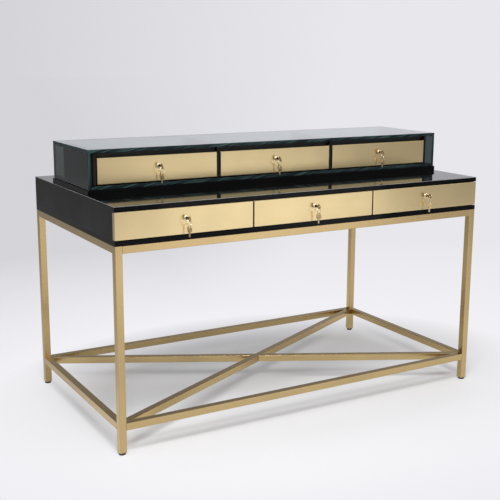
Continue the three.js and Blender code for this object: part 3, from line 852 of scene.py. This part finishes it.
class TABLE_OT_locks(bpy.types.Operator):
    """Make the locks, the keys in them, and the spare keys that hang from them on split rings"""

    bl_idname = "display_table.locks"
    bl_label = "Locks and keys"

    def execute(self, context):
        finish, sizes = context.scene.table_finishes, context.scene.table_sizes
        metals = {}
        for name, roughness in METALS.items():
            metals[name] = polished_metal(name, getattr(finish, name), roughness)
        for drawer in DRAWERS:
            self.make_lock(drawer, sizes, metals)
            self.make_key(drawer, sizes, metals)
            self.make_spare(drawer, sizes, metals)
        return {"FINISHED"}

    def lock_axis(self, drawer):
        """The lock's axis at the drawer's face: middle of the lock, plane of the brass front."""
        low, high = corners(f"lock_{drawer}")
        face = corners(f"drawer_front_{drawer}")[0][Y]
        return np.array(((low[X] + high[X]) / 2, face, (low[Z] + high[Z]) / 2))

    def bow_centre(self, drawer):
        """Middle of the inserted key's bow, on the lock's axis, and the bow's radius."""
        low, high = corners(f"key_{drawer}")
        radius = (high[Z] - low[Z]) / 2
        axis = self.lock_axis(drawer)
        return np.array((axis[X], low[Y] + radius, axis[Z])), radius

    def make_lock(self, drawer, sizes, metals):
        """Collar with a rounded edge and a dished face, and a barrel behind it, turned about the axis. The
        barrel's radius is less than the collar's by half of the collar's height."""
        low, high = corners(f"lock_{drawer}")
        axis = self.lock_axis(drawer)
        radius = (high[X] - low[X]) / 2
        height = axis[Y] - low[Y]
        bore = sizes.plug_radius + sizes.plug_gap
        barrel = radius - height / 2
        end = high[Y] - axis[Y]
        inset, rise = quarter(sizes.collar_round, steps=6)
        rim = list(zip(radius - inset, -height + rise))
        dish = [(bore + out, deep - height) for out, deep in DISH]
        back = [(radius, 0.0), (barrel, 0.0), (barrel, end), (bore, end)]
        shell = turned(dish + rim + back, axis, Y, close_profile=True)
        materials, body = [metals["lock_brass"]], f"drawer_{drawer}"
        lock = make_piece(f"lock_collar_{drawer}", [shell], materials, body, smooth=40)
        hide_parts(f"lock_{drawer}")

    def make_key(self, drawer, sizes, metals):
        """Plug, cam, neck and bow of the key that turns in the lock."""
        low, high = corners(f"key_{drawer}")
        axis = self.lock_axis(drawer)
        centre, radius = self.bow_centre(drawer)
        face = corners(f"lock_{drawer}")[0][Y] - sizes.plug_proud
        edge, plug, end = sizes.key_edge, sizes.plug_radius, high[Y]
        plug_profile = [(0.0, face), (plug - edge, face), (plug, face + edge), (plug, end), (0.0, end)]
        on_axis = (axis[X], 0.0, axis[Z])
        half_cam = sizes.cam_width / 2
        cam_front = end - sizes.cam_thickness
        hub_front = [(0.0, cam_front), (half_cam - edge, cam_front), (half_cam, cam_front + edge)]
        hub_back = [(half_cam, end - edge), (half_cam - edge, end), (0.0, end)]
        arm_low = (low[X], cam_front, axis[Z] - half_cam)
        arm_high = (axis[X], end, axis[Z] + half_cam)
        half_plate, half_neck = sizes.key_plate / 2, sizes.key_neck / 2
        neck_low = (axis[X] - half_plate, centre[Y] + radius / 2, axis[Z] - half_neck)
        neck_high = (axis[X] + half_plate, face + 2 * edge, axis[Z] + half_neck)
        shells = [
            turned(plug_profile, on_axis, Y, around=32),
            turned(hub_front + hub_back, on_axis, Y, around=32),
            eased_board(arm_low, arm_high, Y, edge, edge),
            eased_board(neck_low, neck_high, X, edge, edge),
            holed_disc(centre, radius, radius, centre, sizes.key_hole, sizes.key_plate, edge),
        ]
        # The plug takes the near-black painted shade, the rest of the key its brass
        materials, body = [metals["plug_bronze"], metals["key_brass"]], f"key_turn_{drawer}"
        key = make_piece(f"lock_key_{drawer}", shells, materials, body, smooth=35)
        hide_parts(f"key_{drawer}")

    def make_spare(self, drawer, sizes, metals):
        """A split ring through the inserted key's bow, and a spare key that hangs from the ring."""
        axis = self.lock_axis(drawer)
        centre, _ = self.bow_centre(drawer)
        body = f"drawer_{drawer}"
        seat = centre[Z] - sizes.key_hole + sizes.ring_wire
        ring_centre = (centre[X], centre[Y], seat - sizes.ring_radius)
        ring = split_ring(ring_centre, sizes.ring_radius, sizes.ring_wire, sizes.ring_pitch)
        ring = turned_about(ring, centre, sizes.ring_turn)
        make_piece(f"split_ring_{drawer}", [ring], [metals["key_nickel"]], body, smooth=50)
        hole_z = seat - 2 * sizes.ring_radius + sizes.ring_wire - sizes.spare_hole
        bow_z = hole_z - (sizes.spare_tall - sizes.spare_hole - sizes.spare_rim)
        hole = (centre[X], centre[Y], hole_z)
        bow = (centre[X], centre[Y], bow_z)
        oval = (sizes.spare_bow, sizes.spare_tall)
        disc = holed_disc(bow, *oval, hole, sizes.spare_hole, sizes.key_plate, sizes.key_edge)
        top = (centre[X], centre[Y], bow_z - sizes.spare_tall + 2 * sizes.key_edge)
        tip = axis[Z] - sizes.spare_hang
        blade = key_blade(top, tip, sizes.blade_width, sizes.blade_plate, sizes.blade_cut)
        shells = [turned_about(shell, centre, sizes.spare_turn) for shell in (disc, blade)]
        materials = [metals["spare_brass"], metals["key_nickel"]]
        make_piece(f"spare_key_{drawer}", shells, materials, body, smooth=35)


class TABLE_OT_studio(bpy.types.Operator):
    """Set the pale floor and backdrop, the soft lamps and the camera"""

    bl_idname = "display_table.studio"
    bl_label = "Studio"

    def execute(self, context):
        studio = context.scene.table_studio
        self.set_floor(context.scene, studio)
        self.set_world(context.scene, studio)
        for name, (place, size, power) in LAMPS.items():
            self.add_lamp(context.scene, name, place, size, getattr(studio, power))
        self.set_camera(context.scene, studio)
        context.scene.view_settings.view_transform = "Standard"
        return {"FINISHED"}

    def far_colour(self, tree, direction, studio):
        """The backdrop's colour, from its left shade to its right shade by the way one looks."""
        across = ramp(tree, split(tree, direction)["X"], *BACKDROP_RIGHT)
        return mixed(tree, across, studio.far_left, studio.far_right)

    def mirrored_room(self, tree, place, backdrop, studio):
        """The backdrop, dimmed with distance to the left behind the table and to the right in front of it,
        where it is seen as a reflection."""
        way = split(tree, shifted(tree, "NORMALIZE", place))
        away = measured(tree, "LENGTH", place)
        reflected = glossy_ray(tree)
        for shade, (aside, facing, distances, least) in DIM_SIDES.items():
            turned_aside, turned_there = ramp(tree, way["X"], *aside), ramp(tree, way["Y"], *facing)
            beside = worked(tree, "MULTIPLY", turned_aside, turned_there)
            graded = worked(tree, "MULTIPLY", beside, ranged(tree, away, least, 1.0, *distances))
            amount = worked(tree, "MULTIPLY", graded, reflected)
            backdrop = mixed(tree, amount, backdrop, getattr(studio, shade))
        return backdrop

    def seen_rays(self, tree):
        """1 for rays of the camera, of reflections and through glass, and 0 for rays that light things."""
        path = add(tree, "LightPath").outputs
        straight = worked(tree, "MAXIMUM", path["Is Camera Ray"], path["Is Glossy Ray"])
        return worked(tree, "MAXIMUM", straight, path["Is Transmission Ray"])

    def floor_material(self, studio):
        """A floor that takes light near the table, and far away glows in the backdrop's colour."""
        material, tree, shader = start_material("studio_floor")
        speckle = grain(tree, FLOOR_SPECKLE, detail=3.0)
        base = varied(tree, speckle, studio.floor_near, darkest=0.985, lightest=1.0)
        fill(tree, shader, {"Base Color": base, "Roughness": 0.9, "Specular IOR Level": 0.0})
        place = object_place(tree)
        aside = shifted(tree, "SUBTRACT", place, studio.shadow_middle)
        away = measured(tree, "LENGTH", shifted(tree, "MULTIPLY", aside, SHADOW_SHAPE))
        fade = ranged(tree, away, studio.shadow_lift, 1.0, studio.near_radius, studio.glow_radius)
        distance = ramp(tree, away, studio.glow_radius, studio.far_radius)
        far = self.far_colour(tree, shifted(tree, "NORMALIZE", place), studio)
        backdrop = mixed(tree, distance, studio.floor_glow, far)
        apart = measured(tree, "LENGTH", shifted(tree, "SUBTRACT", place, studio.pool_middle))
        pool = ranged(tree, apart, studio.pool_light, 0.0, 0.0, studio.pool_radius)
        lit = worked(tree, "MULTIPLY_ADD", pool, glossy_ray(tree), 1.0)
        seen = self.mirrored_room(tree, place, backdrop, studio)
        glow = add(tree, "Emission", {"Color": seen, "Strength": lit}).outputs["Emission"]
        factor = worked(tree, "MULTIPLY", fade, self.seen_rays(tree))
        joint = add(tree, "MixShader", {0: factor, 1: shader.outputs["BSDF"], 2: glow})
        fill(tree, output_of(tree), {"Surface": joint.outputs["Shader"]})
        return material

    def set_floor(self, scene, studio, steps=24, around=64):
        """A wide disc of circles, whose radius grows with the square of their place from the middle."""
        radius = studio.floor_radius * np.linspace(0.0, 1.0, steps) ** 2
        angle = np.linspace(0.0, 2 * np.pi, around, endpoint=False)
        rings = np.zeros((steps, around, 3))
        rings[:, :, 0] = radius[:, None] * np.cos(angle)
        rings[:, :, 1] = radius[:, None] * np.sin(angle)
        points, quads, _ = tube_shell(rings, capped=False)
        mesh = bpy.data.meshes.new("studio_floor")
        mesh.from_pydata(points.tolist(), [], quads.tolist())
        mesh.materials.append(self.floor_material(studio))
        floor = bpy.data.objects.new("studio_floor", mesh)
        scene.collection.objects.link(floor)

    def set_world(self, scene, studio):
        """Even light from all round, with the backdrop's colour where it is seen."""
        world = bpy.data.worlds.new("studio_room")
        world.use_nodes = True
        tree = world.node_tree
        tree.nodes.clear()
        direction = add(tree, "TexCoord").outputs["Generated"]
        way = split(tree, direction)
        backdrop = self.far_colour(tree, direction, studio)
        distant = shifted(tree, "MULTIPLY", direction, (studio.floor_radius,) * 3)
        dimmed = self.mirrored_room(tree, distant, backdrop, studio)
        wall = mixed(tree, ramp(tree, way["Z"], *UNDER_CEILING), studio.room_above, dimmed)
        front = mixed(tree, ramp(tree, way["Z"], *SOFTBOX_RISE), studio.room_front, studio.room_high)
        mirrored = mixed(tree, ramp(tree, way["Y"], *BEHIND_TABLE), front, wall)
        shown = mixed(tree, glossy_ray(tree), backdrop, mirrored)
        seen = add(tree, "Background", {"Color": shown}).outputs["Background"]
        sockets = {"Color": (1.0, 1.0, 1.0, 1.0), "Strength": studio.room_light}
        light = add(tree, "Background", sockets).outputs["Background"]
        joint = add(tree, "MixShader", {0: self.seen_rays(tree), 1: light, 2: seen})
        add(tree, "OutputWorld", {"Surface": joint.outputs["Shader"]})
        scene.world = world

    def add_lamp(self, scene, name, place, size, power):
        """A soft rectangular lamp that faces the table."""
        lamp = bpy.data.lights.new(name, "AREA")
        lamp.shape = "RECTANGLE"
        lamp.size, lamp.size_y = size
        lamp.energy = power
        holder = bpy.data.objects.new(name, lamp)
        holder.location = place
        holder.rotation_euler = (Vector(LAMP_AIM) - Vector(place)).to_track_quat("-Z", "Y").to_euler()
        scene.collection.objects.link(holder)

    def set_camera(self, scene, studio):
        """A camera turned from +Y to its heading, tilted down, then rolled about its line of sight."""
        camera = bpy.data.cameras.new("camera")
        camera.lens = studio.camera_lens
        camera.sensor_width = SENSOR_WIDTH
        camera.shift_x, camera.shift_y = studio.camera_shift
        camera.clip_end = 2 * studio.floor_radius
        holder = bpy.data.objects.new("camera", camera)
        heading = Matrix.Rotation(-studio.camera_heading, 4, "Z")
        tilt = Matrix.Rotation(math.pi / 2 - studio.camera_fall, 4, "X")
        roll = Matrix.Rotation(studio.camera_roll, 4, "Z")
        holder.matrix_world = Matrix.Translation(studio.camera_place) @ heading @ tilt @ roll
        scene.collection.objects.link(holder)
        scene.camera = holder


class TABLE_PT_panel(bpy.types.Panel):
    """Sizes, finishes and steps of the display table"""

    bl_idname = "TABLE_PT_panel"
    bl_label = "Display Table"
    bl_space_type = "VIEW_3D"
    bl_region_type = "UI"
    bl_category = "Table"

    def draw(self, context):
        for group in (getattr(context.scene, name) for name in GROUPS):
            column = self.layout.column(align=True)
            for name in group.__annotations__:
                column.prop(group, name)
        for step in STEPS:
            self.layout.operator(step.bl_idname)


STEPS = (
    TABLE_OT_frame,
    TABLE_OT_cabinet,
    TABLE_OT_glass,
    TABLE_OT_drawers,
    TABLE_OT_locks,
    TABLE_OT_studio,
)
GROUPS = {"table_sizes": TableSizes, "table_finishes": TableFinishes, "table_studio": TableStudio}


def register():
    for kind in (*GROUPS.values(), *STEPS, TABLE_PT_panel):
        bpy.utils.register_class(kind)
    for name, kind in GROUPS.items():
        setattr(bpy.types.Scene, name, PointerProperty(type=kind))


def unregister():
    for name in GROUPS:
        delattr(bpy.types.Scene, name)
    for kind in (TABLE_PT_panel, *reversed(STEPS), *reversed(tuple(GROUPS.values()))):
        bpy.utils.unregister_class(kind)


def main():
    """Registers the add-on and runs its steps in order."""
    register()
    bpy.ops.display_table.frame()
    bpy.ops.display_table.cabinet()
    bpy.ops.display_table.glass()
    bpy.ops.display_table.drawers()
    bpy.ops.display_table.locks()
    bpy.ops.display_table.studio()


if __name__ == "__main__":
    main()
